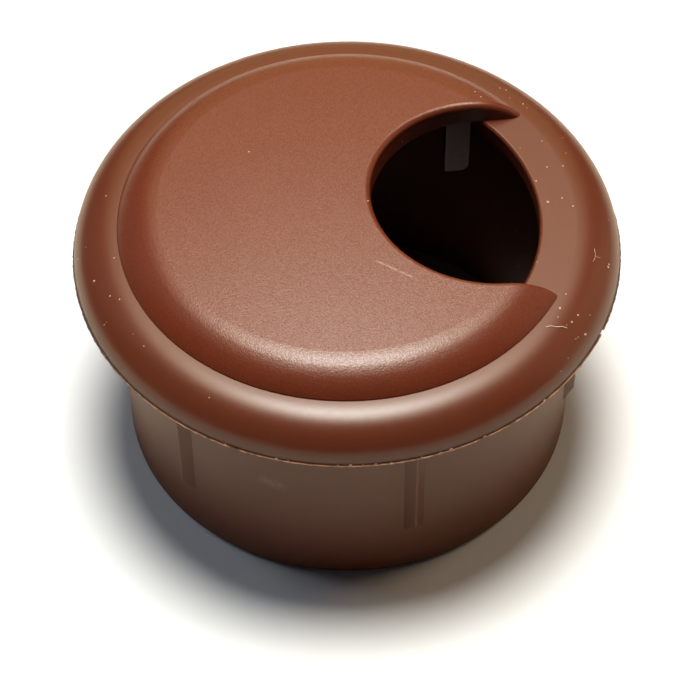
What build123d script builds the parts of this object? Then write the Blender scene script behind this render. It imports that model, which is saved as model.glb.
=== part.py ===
"""Desk cable grommet: a flanged liner for a bored hole, and a snap-in cap that turns to aim its outlet.

Millimetres. The origin is the centre of the sleeve's foot, +Z is up and +X points to the cable outlet.
"""
import math
import os

from build123d import *

# The hole in the desktop, and the sleeve that drops into it
desk_hole_diameter = 60.0
hole_clearance = 0.15
sleeve_depth = 31.0
sleeve_wall = 2.4
foot_chamfer = 0.7

# Flange that covers the edge of the hole
flange_diameter = 69.6
flange_thickness = 5.1
flange_wall = 2.4
rim_round_width = 5.7
rim_round_height = 4.8
channel_corner_radius = 1.2

# Lip inside the liner, which the cap's legs snap behind
bore_diameter = 48.8
lip_thickness = 2.4
lip_edge_radius = 0.4
lip_root_radius = 0.8

# Crush ribs on the outside of the sleeve
rib_count = 6
rib_start_angle = 40.4
rib_width = 2.6
rib_height = 1.15
rib_length = 22.0
rib_lead_in = 1.7
rib_crest_radius = 0.25

# Cap: a low crown that rolls over at its edge and meets the seat at a slope
cap_diameter = 58.0
cap_foot_land = 0.15
cap_foot_slope = 54.5
cap_edge_radius = 6.8
cap_crown_radius = 420.0
cap_skin = 2.1
cap_rim_width = 4.0
hollow_corner_radius = 1.0

# Cable outlet: a slot with a round end, open at the cap's edge
outlet_width = 29.8
outlet_offset = 18.0
outlet_wall = 2.0
outlet_edge_radius = 0.7

# Snap legs under the cap, two beside the outlet and two across from them
leg_width = 3.2
leg_thickness = 1.1
leg_setback = 0.1
leg_reach = 9.3
leg_embed = 0.2
leg_clearance = 0.35
leg_corner_radius = 1.2
hook_bite = 0.75
hook_land = 1.0
hook_clearance = 0.3
tip_thickness = 0.7

# Liner sizes that follow
sleeve_radius = desk_hole_diameter / 2 - hole_clearance
sleeve_inner_radius = sleeve_radius - sleeve_wall
flange_radius = flange_diameter / 2
bore_radius = bore_diameter / 2
seat_height = sleeve_depth + flange_thickness
lip_underside = seat_height - lip_thickness
channel_ceiling = seat_height - flange_wall
channel_radius = flange_radius - flange_wall
rim_land_top = seat_height - rim_round_height
rib_crest = sleeve_radius + rib_height
rib_root = sleeve_radius - sleeve_wall / 2
rib_foot = sleeve_depth - rib_length

# Cap sizes that follow: the edge round ends on the foot land, and the crown runs on from it
cap_radius = cap_diameter / 2
edge_centre_radius = cap_radius - cap_edge_radius * math.sin(math.radians(cap_foot_slope))
edge_centre_height = seat_height + cap_foot_land - cap_edge_radius * math.cos(math.radians(cap_foot_slope))
crown_drop = math.sqrt((cap_crown_radius - cap_edge_radius) ** 2 - edge_centre_radius**2)
crown_centre_height = edge_centre_height - crown_drop
crown_slope = math.degrees(math.atan2(edge_centre_radius, crown_drop))
cap_top = crown_centre_height + cap_crown_radius
cap_ceiling = cap_top - cap_skin
cavity_radius = cap_radius - cap_rim_width
outlet_radius = outlet_width / 2

# Leg sizes that follow: the legs run down from the wall beside the outlet, clear the bore at their outer
# corners, and hook behind its lip
leg_inner = outlet_radius + leg_setback
leg_outer = leg_inner + leg_thickness
leg_far_side = math.sqrt((bore_radius - leg_clearance) ** 2 - leg_outer**2)
leg_near_side = leg_far_side - leg_width
leg_offset = (leg_far_side + leg_near_side) / 2
leg_tip = seat_height - leg_reach
leg_root = cap_ceiling + leg_embed
hook_top = lip_underside - hook_clearance
hook_radius = bore_radius + hook_bite
hook_reach = math.sqrt(hook_radius**2 - leg_near_side**2)

os.makedirs("parts", exist_ok=True)

# One crush rib on +X: a fin with a sloping foot, cut to a roof-shaped section
with BuildPart() as rib:
    with BuildSketch(Plane.XZ) as fin:
        with BuildLine():
            Polyline(
                (rib_root, channel_ceiling),
                (rib_crest, channel_ceiling),
                (rib_crest, rib_foot + rib_lead_in),
                (sleeve_radius, rib_foot),
                (rib_root, rib_foot),
                close=True,
            )
        make_face()
    extrude(amount=rib_width / 2, both=True)
    with BuildSketch() as roof:
        with BuildLine():
            Polyline(
                (rib_root, -rib_width / 2),
                (sleeve_radius, -rib_width / 2),
                (rib_crest, 0),
                (sleeve_radius, rib_width / 2),
                (rib_root, rib_width / 2),
                close=True,
            )
        make_face()
        fillet(roof.vertices().sort_by(Axis.X)[-1], rib_crest_radius)
    extrude(amount=seat_height, mode=Mode.INTERSECT)

# Liner: sleeve, hollow-backed flange and lip turned from one section, with the ribs round it
with BuildPart() as liner:
    with BuildSketch(Plane.XZ) as wall:
        with BuildLine():
            Polyline(
                (flange_radius - rim_round_width, seat_height),
                (bore_radius, seat_height),
                (bore_radius, lip_underside),
                (sleeve_inner_radius, lip_underside),
                (sleeve_inner_radius, 0),
                (sleeve_radius - foot_chamfer, 0),
                (sleeve_radius, foot_chamfer),
                (sleeve_radius, channel_ceiling),
                (channel_radius, channel_ceiling),
                (channel_radius, sleeve_depth),
                (flange_radius, sleeve_depth),
                (flange_radius, rim_land_top),
            )
            EllipticalCenterArc(
                (flange_radius - rim_round_width, rim_land_top),
                rim_round_width,
                rim_round_height,
                start_angle=0,
                arc_size=90,
            )
        make_face()
        corners = wall.vertices()
        fillet(corners.sort_by_distance((bore_radius, seat_height))[0], lip_edge_radius)
        fillet(corners.sort_by_distance((bore_radius, lip_underside))[0], lip_edge_radius)
        fillet(corners.sort_by_distance((sleeve_inner_radius, lip_underside))[0], lip_root_radius)
        fillet(corners.sort_by_distance((channel_radius, channel_ceiling))[0], channel_corner_radius)
    revolve(axis=Axis.Z)
    with PolarLocations(0, rib_count, start_angle=rib_start_angle):
        add(rib.part)

# Hollow under the cap, which leaves a wall standing round the outlet
with BuildPart() as hollow:
    with BuildSketch(Plane.XZ) as half_hollow:
        with Locations((0, seat_height)):
            Rectangle(cavity_radius, cap_ceiling - seat_height, align=(Align.MIN, Align.MIN))
        fillet(half_hollow.vertices().group_by(Axis.X)[-1].sort_by(Axis.Y)[-1], hollow_corner_radius)
    revolve(axis=Axis.Z)
    with BuildSketch(Plane.XY.offset(seat_height)):
        with Locations((outlet_offset, 0)):
            Circle(outlet_radius + outlet_wall)
            Rectangle(cap_radius, outlet_width + 2 * outlet_wall, align=(Align.MIN, Align.CENTER))
    extrude(amount=cap_top - seat_height, mode=Mode.SUBTRACT)

# The four snap legs: flat tongues with one rounded corner, and hooks that face away from the outlet
with BuildPart() as legs:
    with BuildSketch(Plane.YZ.offset(leg_offset)):
        with BuildLine():
            Polyline(
                (leg_inner, leg_root),
                (leg_outer, leg_root),
                (leg_outer, hook_top),
                (hook_reach, hook_top),
                (hook_reach, hook_top - hook_land),
                (leg_inner + tip_thickness, leg_tip),
                (leg_inner, leg_tip),
                close=True,
            )
        make_face()
    extrude(amount=leg_width / 2, both=True)
    fillet(legs.edges().filter_by(Axis.Y).group_by(Axis.Z)[0].sort_by(Axis.X)[-1], leg_corner_radius)
    with BuildSketch(Plane.XY.offset(leg_tip)):
        Circle(hook_radius)
    extrude(amount=leg_root - leg_tip, mode=Mode.INTERSECT)
    mirror(about=Plane.XZ)
    mirror(about=Plane.YZ)

# Cap: a crowned disc, slotted and rounded along the slot, then cut off at the seat, hollowed and given legs
with BuildPart() as cap:
    with BuildSketch(Plane.XZ):
        with BuildLine():
            Polyline(
                (0, cap_top),
                (0, leg_tip),
                (-edge_centre_radius - cap_edge_radius, leg_tip),
                (-edge_centre_radius - cap_edge_radius, edge_centre_height),
            )
            CenterArc(
                (-edge_centre_radius, edge_centre_height),
                cap_edge_radius,
                start_angle=90 + crown_slope,
                arc_size=90 - crown_slope,
            )
            CenterArc((0, crown_centre_height), cap_crown_radius, start_angle=90, arc_size=crown_slope)
        make_face()
    revolve(axis=Axis.Z)
    with BuildSketch(Plane.XY.offset(leg_tip)):
        with Locations((outlet_offset, 0)):
            Circle(outlet_radius)
            Rectangle(cap_radius, outlet_width, align=(Align.MIN, Align.CENTER))
    extrude(amount=cap_top - leg_tip, mode=Mode.SUBTRACT)
    outlet_wall_face = cap.faces().filter_by(GeomType.CYLINDER).sort_by_distance((0, 0, seat_height))[0]
    outlet_rim = outlet_wall_face.edges().sort_by(Axis.Z)[-1]
    fillet(outlet_rim, outlet_edge_radius)
    with BuildSketch(Plane.XY.offset(seat_height)):
        Circle(cap_radius)
    extrude(amount=cap_top - seat_height, mode=Mode.INTERSECT)
    add(hollow.part, mode=Mode.SUBTRACT)
    add(legs.part)

liner.part.label = "liner"
cap.part.label = "cap"
export_step(liner.part, "parts/liner.step")
export_step(cap.part, "parts/cap.step")
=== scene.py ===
"""Desk cable grommet on a white table: plastic, mould flash, dust and studio light for its liner and cap.

Everything is in metres, in the part's own frame: the origin is the centre of the sleeve's foot, +Z is up and
+X points to the cable outlet.
"""
import logging
import math
import random
from dataclasses import dataclass
from enum import Enum
from typing import Any

import bpy
from mathutils import Matrix, Vector


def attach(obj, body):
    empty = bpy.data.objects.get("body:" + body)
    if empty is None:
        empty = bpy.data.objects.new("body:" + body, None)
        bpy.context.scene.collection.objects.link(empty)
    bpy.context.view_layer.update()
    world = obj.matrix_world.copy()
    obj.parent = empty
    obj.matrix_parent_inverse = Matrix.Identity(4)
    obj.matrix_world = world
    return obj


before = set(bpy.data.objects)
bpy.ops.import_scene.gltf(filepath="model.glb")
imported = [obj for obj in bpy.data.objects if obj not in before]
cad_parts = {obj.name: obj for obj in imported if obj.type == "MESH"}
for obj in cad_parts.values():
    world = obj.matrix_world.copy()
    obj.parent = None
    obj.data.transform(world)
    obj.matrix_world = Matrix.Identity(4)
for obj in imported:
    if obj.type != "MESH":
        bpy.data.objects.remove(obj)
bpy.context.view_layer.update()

MM = 0.001
SPECULAR_LEVEL = 0.5  # the middle level, at which a skin reflects just what its IOR gives
Point = tuple[float, float, float]
log = logging.getLogger("grommet")


def linear(hex_colour: str) -> tuple[float, float, float, float]:
    """Turns an sRGB hex colour to linear light.

    Args:
        hex_colour: Six hex digits after a hash sign.

    Returns:
        Red, green, blue and an alpha of 1.
    """
    shares = [int(hex_colour[i:i + 2], 16) / 255 for i in (1, 3, 5)]
    red, green, blue = [s / 12.92 if s <= 0.04045 else ((s + 0.055) / 1.055) ** 2.4 for s in shares]
    return red, green, blue, 1.0


def fill_inputs(tree: bpy.types.NodeTree, node: bpy.types.Node, inputs: dict[Any, Any]) -> None:
    """Fills or links a node's inputs.

    Args:
        tree: The node's tree.
        node: The node.
        inputs: For each input's name or number, a plain value or the output socket to link.
    """
    for socket, value in inputs.items():
        if isinstance(value, bpy.types.NodeSocket):
            tree.links.new(value, node.inputs[socket])
        else:
            node.inputs[socket].default_value = value


def add_node(
    tree: bpy.types.NodeTree,
    kind: str,
    settings: dict[str, Any] | None = None,
    inputs: dict[Any, Any] | None = None,
) -> bpy.types.Node:
    """Adds one node, sets its options, and fills or links its inputs.

    Args:
        tree: The node tree that gets the node.
        kind: The node's type name.
        settings: Values for the node's own options.
        inputs: What its inputs get, as in fill_inputs.

    Returns:
        The new node.
    """
    node = tree.nodes.new(kind)
    for option, value in (settings or {}).items():
        setattr(node, option, value)
    fill_inputs(tree, node, inputs or {})
    return node


def select_only(*pieces: bpy.types.Object) -> None:
    """Selects these objects and no others, and makes the first one active."""
    bpy.ops.object.select_all(action="DESELECT")
    for piece in pieces:
        piece.select_set(True)
    bpy.context.view_layer.objects.active = pieces[0]


def pick_vertices(piece: bpy.types.Object, wanted: set[int]) -> None:
    """Selects just these vertices of a mesh, and leaves it in edit mode.

    Args:
        piece: The object, which is the active one.
        wanted: Numbers of the vertices to select.
    """
    bpy.ops.object.mode_set(mode="EDIT")
    bpy.ops.mesh.select_mode(type="VERT")
    bpy.ops.mesh.select_all(action="DESELECT")
    bpy.ops.object.mode_set(mode="OBJECT")
    for vertex in piece.data.vertices:
        vertex.select = vertex.index in wanted
    bpy.ops.object.mode_set(mode="EDIT")


class Skin(Enum):
    """How the steel that moulded a surface was finished."""

    SATIN = "blasted to a satin"
    SPARKED = "spark eroded to a fine matt grain"


@dataclass(frozen=True)
class Streak:
    """A pale mark on a surface along a short line."""

    start: Point
    end: Point
    width: float
    colour: str
    strength: float
    patch: float = 0.5 * MM
    patch_detail: float = 2.0
    bare_below: float = 0.2
    whole_above: float = 0.8

    def mask(self, tree: bpy.types.NodeTree, place: bpy.types.NodeSocket) -> bpy.types.NodeSocket:
        """Measures how strongly the mark covers each point.

        Args:
            tree: The material's node tree.
            place: Object coordinates.

        Returns:
            An output that is the mark's strength on its line and falls to 0 at its edge.
        """
        run = Vector(self.end) - Vector(self.start)
        away = add_node(tree, "ShaderNodeVectorMath", {"operation": "SUBTRACT"}, {0: place, 1: self.start})
        share = add_node(
            tree,
            "ShaderNodeVectorMath",
            {"operation": "DOT_PRODUCT"},
            {0: away.outputs["Vector"], 1: run / run.length_squared},
        )
        held = add_node(tree, "ShaderNodeClamp", inputs={"Value": share.outputs["Value"]})
        foot = add_node(
            tree, "ShaderNodeVectorMath", {"operation": "SCALE"}, {0: run, "Scale": held.outputs["Result"]}
        )
        gap = add_node(
            tree,
            "ShaderNodeVectorMath",
            {"operation": "DISTANCE"},
            {0: away.outputs["Vector"], 1: foot.outputs["Vector"]},
        )
        # Uneven, as the mark only touched the high spots of the grain
        patches = add_node(
            tree,
            "ShaderNodeTexNoise",
            inputs={"Vector": place, "Scale": 1 / self.patch, "Detail": self.patch_detail},
        )
        cover = add_node(
            tree,
            "ShaderNodeMapRange",
            inputs={
                "Value": gap.outputs["Value"],
                "From Min": 0.0,
                "From Max": self.width / 2,
                "To Min": self.strength,
                "To Max": 0.0,
            },
        )
        broken = add_node(
            tree,
            "ShaderNodeMapRange",
            inputs={
                "Value": patches.outputs["Fac"],
                "From Min": self.bare_below,
                "From Max": self.whole_above,
            },
        )
        both = add_node(
            tree,
            "ShaderNodeMath",
            {"operation": "MULTIPLY"},
            {0: cover.outputs["Result"], 1: broken.outputs["Result"]},
        )
        return both.outputs["Value"]


@dataclass(frozen=True)
class DrawnWallWithPaintedShade:
    """The steep part of a moulding, which slid along the steel as it left the mould and is duller for it;
    its colour is also drawn darker there, as painted shade.
    """

    top: float
    fade: float = 1.8 * MM
    roughness: float = 0.4
    # How far the colour is darkened below the top: painted shade, not a darker plastic
    shade: float = 0.7
    shine: float = 0.46

    def dull_and_paint_shade(
        self,
        tree: bpy.types.NodeTree,
        place: bpy.types.NodeSocket,
        looks: dict[str, Any],
    ) -> dict[str, Any]:
        """Makes a skin duller below the wall's top, and darkens its colour there as painted shade.

        Args:
            tree: The material's node tree.
            place: Object coordinates.
            looks: What the shader's inputs get above the wall.

        Returns:
            What the shader's inputs get all over.
        """
        rise = add_node(tree, "ShaderNodeSeparateXYZ", inputs={"Vector": place})
        above = add_node(
            tree,
            "ShaderNodeMapRange",
            inputs={"Value": rise.outputs["Z"], "From Min": self.top, "From Max": self.top + self.fade},
        )
        shade, roughness, shine = [
            add_node(
                tree,
                "ShaderNodeMix",
                {"data_type": "FLOAT"},
                {"Factor": above.outputs["Result"], "A": on_wall, "B": elsewhere},
            ).outputs["Result"]
            for on_wall, elsewhere in (
                (self.shade, 1.0),
                (self.roughness, looks["Roughness"]),
                (self.shine, looks["Specular IOR Level"]),
            )
        ]
        # Painted shade: the skin's colour is scaled down below the wall's top
        shaded = add_node(
            tree, "ShaderNodeVectorMath", {"operation": "SCALE"}, {0: looks["Base Color"], "Scale": shade}
        )
        return {
            "Base Color": shaded.outputs["Vector"],
            "Roughness": roughness,
            "Specular IOR Level": shine,
        }


@dataclass(frozen=True)
class MouldedPlastic:
    """Brown plastic with the skin that its mould gave it."""

    name: str
    colour: str
    deep_colour: str
    roughness: float
    roughness_spread: float
    skin: Skin
    grain: float
    grain_depth: float
    ior: float = 1.5
    cloud: float = 6 * MM
    cloud_detail: float = 3.0
    crater_overlap: float = 0.6
    glint: float = 0.16 * MM
    glint_spread: float = 0.18
    wall: DrawnWallWithPaintedShade | None = None
    marks: tuple[Streak, ...] = ()

    def height(self, tree: bpy.types.NodeTree, place: bpy.types.NodeSocket) -> bpy.types.NodeSocket:
        """Draws the grain's relief.

        Args:
            tree: The material's node tree.
            place: Object coordinates.

        Returns:
            The relief's height, from 0 to 1.
        """
        if self.skin is Skin.SPARKED:
            # Shallow craters that run into each other, one beside the next
            craters = add_node(
                tree,
                "ShaderNodeTexVoronoi",
                {"feature": "SMOOTH_F1"},
                {"Vector": place, "Scale": 1 / self.grain, "Smoothness": self.crater_overlap},
            )
            return craters.outputs["Distance"]
        # Faint ripples from the blasting, too shallow to see one by one
        ripple = add_node(
            tree, "ShaderNodeTexNoise", inputs={"Vector": place, "Scale": 1 / self.grain, "Detail": 0.0}
        )
        return ripple.outputs["Fac"]

    def shine(
        self, tree: bpy.types.NodeTree, place: bpy.types.NodeSocket
    ) -> bpy.types.NodeSocket | float:
        """Says how strongly the skin shines from point to point.

        Args:
            tree: The material's node tree.
            place: Object coordinates.

        Returns:
            The specular level, as one value or as an output.
        """
        if self.skin is Skin.SATIN:
            return SPECULAR_LEVEL
        # Each crater glints by itself
        glints = add_node(
            tree, "ShaderNodeTexVoronoi", inputs={"Vector": place, "Scale": 1 / self.glint}
        )
        level = add_node(
            tree,
            "ShaderNodeMapRange",
            inputs={
                "Value": glints.outputs["Color"],
                "To Min": SPECULAR_LEVEL - self.glint_spread,
                "To Max": SPECULAR_LEVEL + self.glint_spread,
            },
        )
        return level.outputs["Result"]

    def build(self) -> bpy.types.Material:
        """Makes the material.

        Returns:
            The finished material.
        """
        material = bpy.data.materials.new(self.name)
        material.use_nodes = True
        tree = material.node_tree
        shader = tree.nodes["Principled BSDF"]
        place = add_node(tree, "ShaderNodeTexCoord").outputs["Object"]
        # Pigment that didn't mix quite evenly
        clouds = add_node(
            tree,
            "ShaderNodeTexNoise",
            inputs={"Vector": place, "Scale": 1 / self.cloud, "Detail": self.cloud_detail},
        )
        pigment = add_node(
            tree,
            "ShaderNodeMix",
            {"data_type": "RGBA"},
            {"Factor": clouds.outputs["Fac"], "A": linear(self.deep_colour), "B": linear(self.colour)},
        ).outputs["Result"]
        for mark in self.marks:
            pigment = add_node(
                tree,
                "ShaderNodeMix",
                {"data_type": "RGBA"},
                {"Factor": mark.mask(tree, place), "A": pigment, "B": linear(mark.colour)},
            ).outputs["Result"]
        height = self.height(tree, place)
        gloss = add_node(
            tree,
            "ShaderNodeMapRange",
            inputs={
                "Value": height,
                "To Min": self.roughness - self.roughness_spread,
                "To Max": self.roughness + self.roughness_spread,
            },
        )
        looks = {
            "Base Color": pigment,
            "Roughness": gloss.outputs["Result"],
            "Specular IOR Level": self.shine(tree, place),
        }
        if self.wall:
            looks = self.wall.dull_and_paint_shade(tree, place, looks)
        relief = add_node(
            tree,
            "ShaderNodeBump",
            inputs={"Strength": 1.0, "Distance": self.grain_depth, "Height": height},
        )
        fill_inputs(tree, shader, {**looks, "Normal": relief.outputs["Normal"], "IOR": self.ior})
        return material


@dataclass(frozen=True)
class ThinEdgePlastic:
    """Plastic squeezed out so thin that it turns pale towards its edge."""

    name: str
    colour: str
    edge_colour: str
    root_radius: float
    edge_radius: float
    # Where the fin may turn pale: only in front of this span of Y, a painted highlight
    painted_lit_front: tuple[float, float] | None = None
    roughness: float = 0.45
    patch: float = 1 * MM
    patch_detail: float = 2.0
    whole_below: float = 0.3
    torn_above: float = 0.65

    def build(self) -> bpy.types.Material:
        """Makes the material.

        Returns:
            The finished material.
        """
        material = bpy.data.materials.new(self.name)
        material.use_nodes = True
        tree = material.node_tree
        shader = tree.nodes["Principled BSDF"]
        place = add_node(tree, "ShaderNodeTexCoord").outputs["Object"]
        level = add_node(
            tree, "ShaderNodeVectorMath", {"operation": "MULTIPLY"}, {0: place, 1: (1, 1, 0)}
        )
        reach = add_node(
            tree, "ShaderNodeVectorMath", {"operation": "LENGTH"}, {0: level.outputs["Vector"]}
        )
        thinness = add_node(
            tree,
            "ShaderNodeMapRange",
            inputs={
                "Value": reach.outputs["Value"],
                "From Min": self.root_radius,
                "From Max": self.edge_radius,
            },
        )
        # Patches of stress whitening
        patches = add_node(
            tree,
            "ShaderNodeTexNoise",
            inputs={"Vector": place, "Scale": 1 / self.patch, "Detail": self.patch_detail},
        )
        torn = add_node(
            tree,
            "ShaderNodeMapRange",
            inputs={
                "Value": patches.outputs["Fac"],
                "From Min": self.whole_below,
                "From Max": self.torn_above,
            },
        )
        whitening = add_node(
            tree,
            "ShaderNodeMath",
            {"operation": "MULTIPLY"},
            {0: thinness.outputs["Result"], 1: torn.outputs["Result"]},
        )
        if self.painted_lit_front:
            # Painted light: dark behind the first value of Y and pale in front of the second, so the fin
            # turns pale only along the front, where the light catches it
            sides = add_node(tree, "ShaderNodeSeparateXYZ", inputs={"Vector": place})
            front = add_node(
                tree,
                "ShaderNodeMapRange",
                inputs={
                    "Value": sides.outputs["Y"],
                    "From Min": self.painted_lit_front[0],
                    "From Max": self.painted_lit_front[1],
                },
            )
            whitening = add_node(
                tree,
                "ShaderNodeMath",
                {"operation": "MULTIPLY"},
                {0: whitening.outputs["Value"], 1: front.outputs["Result"]},
            )
        blend = add_node(
            tree,
            "ShaderNodeMix",
            {"data_type": "RGBA"},
            {
                "Factor": whitening.outputs["Value"],
                "A": linear(self.colour),
                "B": linear(self.edge_colour),
            },
        )
        fill_inputs(
            tree, shader, {"Base Color": blend.outputs["Result"], "Roughness": self.roughness}
        )
        return material


@dataclass(frozen=True)
class Lint:
    """Pale dust and lint, matt and a little uneven in colour."""

    name: str
    colour: str
    dark_colour: str
    shade_width: float = 1 * MM
    roughness: float = 0.9

    def build(self) -> bpy.types.Material:
        """Makes the material.

        Returns:
            The finished material.
        """
        material = bpy.data.materials.new(self.name)
        material.use_nodes = True
        tree = material.node_tree
        shader = tree.nodes["Principled BSDF"]
        place = add_node(tree, "ShaderNodeTexCoord").outputs["Object"]
        # Each speck has its own shade, as the noise changes from one to the next
        shades = add_node(
            tree, "ShaderNodeTexNoise", inputs={"Vector": place, "Scale": 1 / self.shade_width}
        )
        blend = add_node(
            tree,
            "ShaderNodeMix",
            {"data_type": "RGBA"},
            {
                "Factor": shades.outputs["Fac"],
                "A": linear(self.dark_colour),
                "B": linear(self.colour),
            },
        )
        fill_inputs(
            tree, shader, {"Base Color": blend.outputs["Result"], "Roughness": self.roughness}
        )
        return material


LINER_PLASTIC = MouldedPlastic(
    # A satin skin: the lamp spreads to a soft pale band along the rim, and the steep sides stay deep brown,
    # partly from painted shade, as the colour of the sleeve and the flange's lowest edge is drawn darker.
    # The ripples that make it satin are drawn coarse, as the real ones are too fine to show.
    name="moulded_abs_satin",
    # A little darker than the cap's colour, though both are the same plastic: painted shade to match the
    # liner's darker look
    colour="#642e1a",
    deep_colour="#612c18",
    roughness=0.31,
    roughness_spread=0.03,
    # Duller below the flange, and its colour darkened there: painted shade for the sleeve under the flange
    # and inside it
    wall=DrawnWallWithPaintedShade(top=31.3 * MM),
    skin=Skin.SATIN,
    grain=0.6 * MM,
    grain_depth=0.0015 * MM,
    marks=(
        # A grey smear on the sleeve
        Streak(
            start=(-13.0 * MM, -26.8 * MM, 18.4 * MM),
            end=(-11.4 * MM, -27.5 * MM, 18.1 * MM),
            width=2.6 * MM,
            colour="#8a7a78",
            strength=0.6,
        ),
    ),
)
CAP_PLASTIC = MouldedPlastic(
    # A matt skin: the grain breaks the lamp's sheen into a fine pale sparkle that grows towards the front
    # edge. The real grain may be finer: it is drawn as coarse as it needs to show.
    name="moulded_abs_sparked",
    colour="#6c2e18",
    deep_colour="#692b16",
    roughness=0.33,
    roughness_spread=0.04,
    skin=Skin.SPARKED,
    grain=0.18 * MM,
    grain_depth=0.0135 * MM,
    marks=(
        # A light scratch beside the outlet
        Streak(
            start=(2.7 * MM, -10.49 * MM, 39.62 * MM),
            end=(6.67 * MM, -13.37 * MM, 39.48 * MM),
            width=0.42 * MM,
            colour="#d9b9a6",
            strength=0.4,
        ),
    ),
)
FLASH_PLASTIC = ThinEdgePlastic(
    # A thin dark line to the eye, drawn darker than the liner as painted shade, and along the front a torn
    # pale edge of stress whitening that is drawn there only, as a painted highlight
    name="abs_mould_flash",
    colour="#40190d",
    edge_colour="#d08c5c",
    root_radius=34.75 * MM,
    edge_radius=35.05 * MM,
    painted_lit_front=(-12 * MM, -27 * MM),
)
BURR_PLASTIC = ThinEdgePlastic(
    # Torn crumbs of flash, nearly white where they were stretched
    name="abs_stretched_burr",
    colour="#cf9f7d",
    edge_colour="#f4dcc6",
    root_radius=34.7 * MM,
    edge_radius=35.1 * MM,
    roughness=0.6,
)
DUST = Lint(
    # Dry crumbs with no shine: pale dots on the brown, no two quite alike
    name="grey_dust",
    colour="#e8d2b0",
    dark_colour="#b08e68",
)
FIBRE = Lint(
    # Fine cotton with no shine: a thin pale line on the brown
    name="cotton_lint",
    colour="#f0dcc4",
    dark_colour="#d0b090",
)


@dataclass
class Moulding:
    """One of the grommet's two mouldings, as the CAD made it."""

    node: str
    plastic: MouldedPlastic

    def dress(self) -> bpy.types.Object:
        """Gives the moulding its plastic.

        Returns:
            The moulding's object.
        """
        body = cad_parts[self.node]
        body.data.materials.clear()
        body.data.materials.append(self.plastic.build())
        return body


@dataclass
class MouldFlash:
    """Thin ragged fin that the mould left round the flange's lower edge."""

    plastic: ThinEdgePlastic
    flange_radius: float = 34.8 * MM
    flange_underside: float = 31.0 * MM
    embed: float = 0.1 * MM
    lift: float = 0.06 * MM
    width: float = 0.2 * MM
    thickness: float = 0.08 * MM
    raggedness: float = 0.06 * MM
    evenness: float = 0.2
    steps: int = 540
    nick_angle: float = -30.5
    nick_half_width: float = 0.5
    seed: int = 5

    def angle_of(self, vertex: bpy.types.MeshVertex) -> float:
        """Returns a vertex's angle round the axis, in degrees."""
        return math.degrees(math.atan2(vertex.co.y, vertex.co.x))

    def build(self) -> bpy.types.Object:
        """Models the fin.

        Returns:
            The fin's object.
        """
        bpy.ops.object.select_all(action="DESELECT")
        bpy.ops.mesh.primitive_circle_add(
            vertices=self.steps,
            radius=self.flange_radius - self.embed,
            location=(0, 0, self.flange_underside + self.lift),
        )
        fin = bpy.context.object
        fin.name = "mould_flash"
        bpy.ops.object.transform_apply(location=True, rotation=False, scale=False)
        bpy.ops.object.mode_set(mode="EDIT")
        bpy.ops.mesh.select_all(action="SELECT")
        bpy.ops.mesh.extrude_region_move()
        growth = (self.flange_radius + self.width) / (self.flange_radius - self.embed)
        bpy.ops.transform.resize(value=(growth, growth, 1.0))
        bpy.ops.object.mode_set(mode="OBJECT")
        outer = {v.index for v in fin.data.vertices if v.co.xy.length > self.flange_radius}
        pick_vertices(fin, outer)
        bpy.ops.transform.vertex_random(
            offset=self.raggedness, uniform=self.evenness, normal=0.0, seed=self.seed
        )
        bpy.ops.object.mode_set(mode="OBJECT")
        torn = {
            v.index
            for v in fin.data.vertices
            if v.index in outer and abs(self.angle_of(v) - self.nick_angle) < self.nick_half_width
        }
        pick_vertices(fin, torn)
        bpy.ops.mesh.delete(type="VERT")
        bpy.ops.mesh.select_all(action="SELECT")
        bpy.ops.mesh.normals_make_consistent(inside=False)
        bpy.ops.object.mode_set(mode="OBJECT")
        select_only(fin)
        shell = fin.modifiers.new("shell", "SOLIDIFY")
        shell.thickness = self.thickness
        shell.offset = 0.0
        bpy.ops.object.modifier_apply(modifier=shell.name)
        fin.data.materials.append(self.plastic.build())
        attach(fin, "liner")
        return fin


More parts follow.
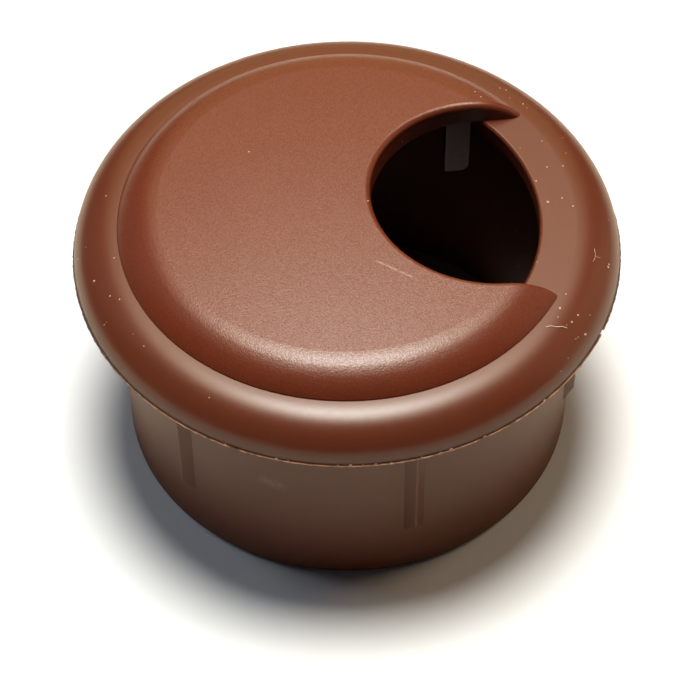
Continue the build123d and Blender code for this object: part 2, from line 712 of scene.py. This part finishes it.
@dataclass
class Crumbs:
    """Small lumps set on a moulding: copies of one squashed lump, joined to one piece."""

    name: str
    carrier: str
    slot: str
    places: tuple[Point, ...]
    size: float
    size_spread: float
    squash: float
    seed: int
    longest: float = 1.5
    lump_width: float = 1.0 * MM
    lump_raggedness: float = 0.12 * MM
    lump_evenness: float = 0.3
    lump_outward: float = 0.5

    def lump(self) -> bpy.types.Object:
        """Models the one lump that all the others are copied from.

        Returns:
            The lump's object.
        """
        bpy.ops.object.select_all(action="DESELECT")
        bpy.ops.mesh.primitive_ico_sphere_add(subdivisions=1, radius=self.lump_width / 2)
        lump = bpy.context.object
        bpy.ops.object.mode_set(mode="EDIT")
        bpy.ops.mesh.select_all(action="SELECT")
        bpy.ops.transform.vertex_random(
            offset=self.lump_raggedness,
            uniform=self.lump_evenness,
            normal=self.lump_outward,
            seed=self.seed,
        )
        bpy.ops.transform.resize(value=(1.0, 1.0, self.squash))
        bpy.ops.mesh.normals_make_consistent(inside=False)
        bpy.ops.object.mode_set(mode="OBJECT")
        return lump

    def build(self, material: bpy.types.Material) -> bpy.types.Object:
        """Sets a copy of the lump at each place, on the nearest surface of the moulding that carries it.

        Args:
            material: What the lumps are made of.

        Returns:
            The joined piece.
        """
        dice = random.Random(self.seed)
        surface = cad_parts[self.carrier]
        lump = self.lump()
        copies = []
        for place in self.places:
            _, spot, out, _ = surface.closest_point_on_mesh(Vector(place) * MM)
            copy = lump.copy()
            copy.data = lump.data.copy()
            bpy.context.scene.collection.objects.link(copy)
            across = self.size * (1 + self.size_spread * dice.uniform(-1, 1)) / self.lump_width
            stretch = dice.uniform(1.0, self.longest)
            copy.matrix_world = (
                Matrix.Translation(spot)
                @ out.to_track_quat("Z", "Y").to_matrix().to_4x4()
                @ Matrix.Rotation(dice.uniform(0, math.tau), 4, "Z")
                @ Matrix.Diagonal((across * stretch, across, across, 1.0))
            )
            copies.append(copy)
        select_only(lump)
        bpy.ops.object.delete()
        select_only(*copies)
        bpy.ops.object.transform_apply(location=True, rotation=True, scale=True)
        bpy.ops.object.join()
        piece = bpy.context.object
        piece.name = self.name
        piece.data.materials.append(material)
        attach(piece, self.carrier)
        return piece


@dataclass
class LintFibre:
    """One short fibre of lint that lies on the flange."""

    name: str
    path: tuple[Point, ...]
    thickness: float
    sides: int = 6

    def build(self, material: bpy.types.Material) -> bpy.types.Object:
        """Models the fibre as a thin tube drawn along its path.

        Args:
            material: What the fibre is made of.

        Returns:
            The fibre's object.
        """
        points = [Vector(p) * MM for p in self.path]
        bpy.ops.object.select_all(action="DESELECT")
        bpy.ops.mesh.primitive_circle_add(
            vertices=self.sides,
            radius=self.thickness / 2,
            fill_type="NGON",
            location=points[0],
            rotation=(points[1] - points[0]).to_track_quat("Z", "Y").to_euler(),
        )
        fibre = bpy.context.object
        fibre.name = self.name
        bpy.ops.object.transform_apply(location=True, rotation=True, scale=False)
        bpy.ops.object.mode_set(mode="EDIT")
        bpy.ops.mesh.select_all(action="SELECT")
        for here, there in zip(points, points[1:]):
            bpy.ops.mesh.extrude_region_move(TRANSFORM_OT_translate={"value": there - here})
        bpy.ops.mesh.select_all(action="SELECT")
        bpy.ops.mesh.normals_make_consistent(inside=False)
        bpy.ops.object.mode_set(mode="OBJECT")
        fibre.data.materials.append(material)
        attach(fibre, "liner")
        return fibre


@dataclass
class SurfaceDirt:
    """Everything loose or torn that sits on the two mouldings, with its places in millimetres."""

    burr_angles: tuple[float, ...] = (
        -120.6, -109.9, -107.5, -97.6, -95.1, -92.7, -90.2, -87.1, -81.0, -77.1, -74.8, -67.6, -52.4,
    )
    burr_radius: float = 34.95
    burr_height: float = 31.08
    liner_specks: tuple[Point, ...] = (
        (22.57, 20.78, 35.9), (23.32, 20.41, 35.8), (23.59, 18.71, 36.0), (25.16, 17.54, 35.9),
        (25.56, 16.74, 35.9), (23.56, 9.58, 36.1), (26.52, 5.91, 36.1), (29.37, 8.2, 36.0),
        (29.47, 11.15, 35.7), (26.58, 10.5, 36.1), (28.59, 5.86, 36.1), (24.75, 3.66, 36.1),
        (25.71, -0.07, 36.1), (27.59, 0.41, 36.1), (33.26, -2.52, 34.5), (25.57, -15.28, 36.1),
        (24.5, -17.38, 36.0), (24.04, -18.7, 36.0), (25.73, -19.2, 35.4), (26.65, -18.13, 35.3),
        (25.02, -19.7, 35.5), (27.44, -20.01, 33.8), (28.28, -17.65, 34.5), (24.67, -23.41, 33.7),
        (23.6, -24.92, 33.2), (24.52, -24.69, 31.0), (22.81, -9.81, 36.1), (28.76, -1.08, 36.1),
        (-19.2, -25.98, 35.3), (24.43, 12.52, 5.5), (22.89, 15.14, 28.5), (24.06, 13.21, 18.1),
        (24.45, 12.48, 16.4), (24.9, 11.54, 10.1), (31.81, -10.2, 34.4), (32.02, -9.75, 34.4),
        (27.29, -20.13, 33.9), (26.29, -20.79, 34.3), (25.98, -21.1, 34.4), (-30.08, 7.28, 35.8),
        (-32.99, -0.15, 34.8), (-34.14, -0.91, 33.5), (-29.51, -3.44, 36.1), (-29.13, -10.07, 35.9),
        (-30.28, -9.15, 35.6), (-31.28, -12.5, 34.2), (-31.0, -12.38, 34.5), (-27.75, -15.43, 35.5),
        (-26.51, -17.45, 35.5), (-32.19, -6.0, 35.0),
    )
    cap_specks: tuple[Point, ...] = (
        (18.71, 17.7, 38.7), (19.35, 16.64, 38.8), (2.66, -0.65, 39.7), (8.39, 11.39, 37.1),
        (-11.48, 9.53, 39.5),
    )
    fibres: tuple[LintFibre, ...] = (
        LintFibre(
            name="lint_fibre",
            path=(
                (22.3, -20.2, 36.06), (22.9, -20.05, 36.02), (23.7, -20.15, 35.86),
                (24.3, -20.05, 35.74), (24.95, -20.15, 35.5),
            ),
            thickness=0.12 * MM,
        ),
        LintFibre(
            name="lint_wisp",
            path=(
                (30.35, -8.1, 35.7), (30.35, -9.03, 35.61), (30.16, -9.6, 35.62), (29.82, -10.19, 35.67),
            ),
            thickness=0.04 * MM,
        ),
        LintFibre(
            name="lint_twig",
            path=((30.3, -9.2, 35.61), (30.62, -9.34, 35.45), (30.96, -9.31, 35.28)),
            thickness=0.03 * MM,
        ),
    )

    def build(self) -> list[bpy.types.Object]:
        """Sets the burrs, the dust and the fibres on the mouldings.

        Returns:
            The new pieces.
        """
        turns = [math.radians(a) for a in self.burr_angles]
        burrs = Crumbs(
            name="flash_burrs",
            carrier="liner",
            slot="liner_plastic",
            places=tuple(
                (self.burr_radius * math.cos(t), self.burr_radius * math.sin(t), self.burr_height)
                for t in turns
            ),
            size=0.36 * MM,
            size_spread=0.45,
            squash=0.7,
            seed=3,
        )
        liner_dust = Crumbs(
            name="liner_dust",
            carrier="liner",
            slot="liner_plastic",
            places=self.liner_specks,
            size=0.21 * MM,
            size_spread=0.45,
            squash=0.5,
            seed=11,
        )
        cap_dust = Crumbs(
            name="cap_dust",
            carrier="cap",
            slot="cap_plastic",
            places=self.cap_specks,
            size=0.21 * MM,
            size_spread=0.3,
            squash=0.5,
            seed=17,
        )
        dust = DUST.build()
        lint = FIBRE.build()
        return [
            burrs.build(BURR_PLASTIC.build()),
            liner_dust.build(dust),
            cap_dust.build(dust),
            *(fibre.build(lint) for fibre in self.fibres),
        ]


class Lights(Enum):
    """Which surfaces a lamp acts on."""

    MATT = "matt surfaces only"
    SHINY = "shiny skins only"


@dataclass(frozen=True)
class Softbox:
    """One soft lamp, aimed at the grommet, with its angles in degrees and its power in watts."""

    name: str
    azimuth: float
    zenith_angle: float
    distance: float
    width: float
    power: float
    colour: str
    lights: Lights

    def build(self, aim: Vector) -> bpy.types.Object:
        """Hangs the lamp.

        Args:
            aim: The point that the lamp faces.

        Returns:
            The lamp's object.
        """
        data = bpy.data.lights.new(self.name, "AREA")
        data.shape = "DISK"
        data.size = self.width
        data.energy = self.power
        data.color = linear(self.colour)[:3]
        lamp = bpy.data.objects.new(self.name, data)
        bpy.context.scene.collection.objects.link(lamp)
        lamp.visible_diffuse = self.lights is Lights.MATT
        lamp.visible_glossy = self.lights is Lights.SHINY
        turn = math.radians(self.azimuth)
        fall = math.radians(self.zenith_angle)
        level = math.sin(fall)
        away = Vector((level * math.cos(turn), level * math.sin(turn), math.cos(fall)))
        lamp.location = aim + away * self.distance
        lamp.rotation_mode = "QUATERNION"
        lamp.rotation_quaternion = away.to_track_quat("Z", "Y")
        return lamp


@dataclass
class Studio:
    """White table, soft lamps and camera."""

    camera_azimuth: float = -5.6
    camera_elevation: float = 51.66
    camera_distance: float = 324.27 * MM
    camera_roll: float = -0.008  # in radians, the other angles in degrees
    aim_right: float = 0.31 * MM
    aim_height: float = 9.22 * MM
    focal_pixels: float = 2400.0
    image_pixels: float = 700.0
    sensor: float = 36.0
    table_radius: float = 0.3
    table_steps: int = 128
    table_colour: str = "#fbfaf6"
    # Painted shade: the grey the table is drawn in inside the sleeve
    shaded_colour: str = "#a8a4a0"
    # Painted reflection: the table's colour where the plastic reflects it
    mirrored_colour: str = "#f6e6ca"
    sleeve_inside: float = 28.5 * MM
    room_strength: float = 0.02
    room_colour: str = "#e4f0ff"
    backdrop_colour: str = "#ffffff"
    lamps: tuple[Softbox, ...] = (
        Softbox(
            name="overhead_softbox",
            azimuth=84.4,
            zenith_angle=7.4,
            distance=1.0,
            width=0.37,
            power=12.2,
            colour="#fffffc",
            lights=Lights.MATT,
        ),
        # The same lamp as shiny skins show it: a bright core, a warm skirt where its cloth fades out, and
        # a cool patch beside them that greys the sheen on the cap's front
        Softbox(
            name="overhead_core",
            azimuth=84.4,
            zenith_angle=7.6,
            distance=1.0,
            width=0.44,
            power=8.7,
            colour="#e8ffff",
            lights=Lights.SHINY,
        ),
        Softbox(
            name="overhead_skirt",
            azimuth=84.4,
            zenith_angle=12.0,
            distance=1.0,
            width=0.92,
            power=11.0,
            colour="#fff1ca",
            lights=Lights.SHINY,
        ),
        Softbox(
            name="cool_back_panel",
            azimuth=84.4,
            zenith_angle=26.0,
            distance=1.0,
            width=0.3,
            power=0.6,
            colour="#b4e8ff",
            lights=Lights.SHINY,
        ),
        Softbox(
            name="warm_back_glow",
            azimuth=84.4,
            zenith_angle=62.0,
            distance=1.2,
            width=1.2,
            power=3.2,
            colour="#ffdc94",
            lights=Lights.SHINY,
        ),
        Softbox(
            name="warm_right_glow",
            azimuth=8.0,
            zenith_angle=74.0,
            distance=1.2,
            width=1.2,
            power=2.3,
            colour="#ffdcb0",
            lights=Lights.SHINY,
        ),
        Softbox(
            name="left_side_softbox",
            azimuth=148.0,
            zenith_angle=64.0,
            distance=1.2,
            width=0.6,
            power=3.6,
            colour="#dcecff",
            lights=Lights.MATT,
        ),
        Softbox(
            name="right_side_softbox",
            azimuth=22.0,
            zenith_angle=62.0,
            distance=1.2,
            width=0.6,
            power=3.9,
            colour="#ffe4c4",
            lights=Lights.MATT,
        ),
    )

    def hang_lamps(self) -> None:
        """Hangs every lamp."""
        for lamp in self.lamps:
            lamp.build(Vector((0, 0, self.aim_height)))

    def lay_table(self) -> None:
        """Lays the white table top, drawn grey inside the sleeve as painted shade, where little light
        reaches the table.
        """
        bpy.ops.object.select_all(action="DESELECT")
        bpy.ops.mesh.primitive_circle_add(
            vertices=self.table_steps, radius=self.table_radius, fill_type="NGON"
        )
        table = bpy.context.object
        table.name = "white_table"
        material = bpy.data.materials.new("white_card")
        material.use_nodes = True
        tree = material.node_tree
        shader = tree.nodes["Principled BSDF"]
        place = add_node(tree, "ShaderNodeTexCoord").outputs["Object"]
        reach = add_node(tree, "ShaderNodeVectorMath", {"operation": "LENGTH"}, {0: place})
        # Painted shade: inside the sleeve the table is drawn grey in place of white
        outside = add_node(
            tree,
            "ShaderNodeMath",
            {"operation": "GREATER_THAN"},
            {0: reach.outputs["Value"], 1: self.sleeve_inside},
        )
        # Painted reflection: where the plastic reflects the table, the table is drawn warmer and darker than
        # it looks from above
        ray = add_node(tree, "ShaderNodeLightPath")
        top = add_node(
            tree,
            "ShaderNodeMix",
            {"data_type": "RGBA"},
            {
                "Factor": ray.outputs["Is Glossy Ray"],
                "A": linear(self.table_colour),
                "B": linear(self.mirrored_colour),
            },
        )
        colour = add_node(
            tree,
            "ShaderNodeMix",
            {"data_type": "RGBA"},
            {
                "Factor": outside.outputs["Value"],
                "A": linear(self.shaded_colour),
                "B": top.outputs["Result"],
            },
        )
        # Plain card: fully matt, with no shine of its own
        fill_inputs(
            tree,
            shader,
            {"Base Color": colour.outputs["Result"], "Roughness": 1.0, "Specular IOR Level": 0.0},
        )
        table.data.materials.append(material)

    def light_backdrop(self) -> None:
        """Makes the backdrop white to the camera and a dim room to everything else."""
        world = bpy.data.worlds.new("white_backdrop")
        bpy.context.scene.world = world
        world.use_nodes = True
        tree = world.node_tree
        room = tree.nodes["Background"]
        fill_inputs(tree, room, {"Color": linear(self.room_colour), "Strength": self.room_strength})
        seen = add_node(
            tree,
            "ShaderNodeBackground",
            inputs={"Color": linear(self.backdrop_colour), "Strength": 1.0},
        )
        ray = add_node(tree, "ShaderNodeLightPath")
        either = add_node(
            tree,
            "ShaderNodeMixShader",
            inputs={0: ray.outputs["Is Camera Ray"], 1: room.outputs[0], 2: seen.outputs[0]},
        )
        tree.links.new(either.outputs[0], tree.nodes["World Output"].inputs["Surface"])

    def place_camera(self) -> None:
        """Puts the camera where the photograph was taken from."""
        data = bpy.data.cameras.new("photo_camera")
        data.sensor_width = self.sensor
        data.lens = self.sensor * self.focal_pixels / self.image_pixels
        camera = bpy.data.objects.new("photo_camera", data)
        bpy.context.scene.collection.objects.link(camera)
        rise = math.radians(self.camera_elevation)
        back = Vector((0, -math.cos(rise), math.sin(rise)))
        right = Vector((1, 0, 0))
        up = back.cross(right)
        tilted_right = right * math.cos(self.camera_roll) + up * math.sin(self.camera_roll)
        tilted_up = up * math.cos(self.camera_roll) - right * math.sin(self.camera_roll)
        axes = Matrix((tilted_right, tilted_up, back)).transposed().to_4x4()
        aim = Vector((self.aim_right, 0, self.aim_height))
        place = Matrix.Translation(aim + back * self.camera_distance)
        turn = Matrix.Rotation(math.radians(self.camera_azimuth), 4, "Z")
        camera.matrix_world = turn @ place @ axes
        bpy.context.scene.camera = camera

    def build(self) -> None:
        """Builds the table, the lamps, the backdrop and the camera."""
        bpy.context.scene.view_settings.view_transform = "Standard"
        self.lay_table()
        self.hang_lamps()
        self.light_backdrop()
        self.place_camera()


def main() -> None:
    """Dresses the grommet, then lights and frames it."""
    logging.basicConfig(level=logging.INFO, format="%(message)s")
    for moulding in (Moulding("liner", LINER_PLASTIC), Moulding("cap", CAP_PLASTIC)):
        piece = moulding.dress()
        log.info("dressed %s in %s", piece.name, moulding.plastic.name)
    for piece in [MouldFlash(FLASH_PLASTIC).build(), *SurfaceDirt().build()]:
        log.info("added %s with %d faces", piece.name, len(piece.data.polygons))
    Studio().build()
    log.info("lit and framed")


if __name__ == "__main__":
    main()
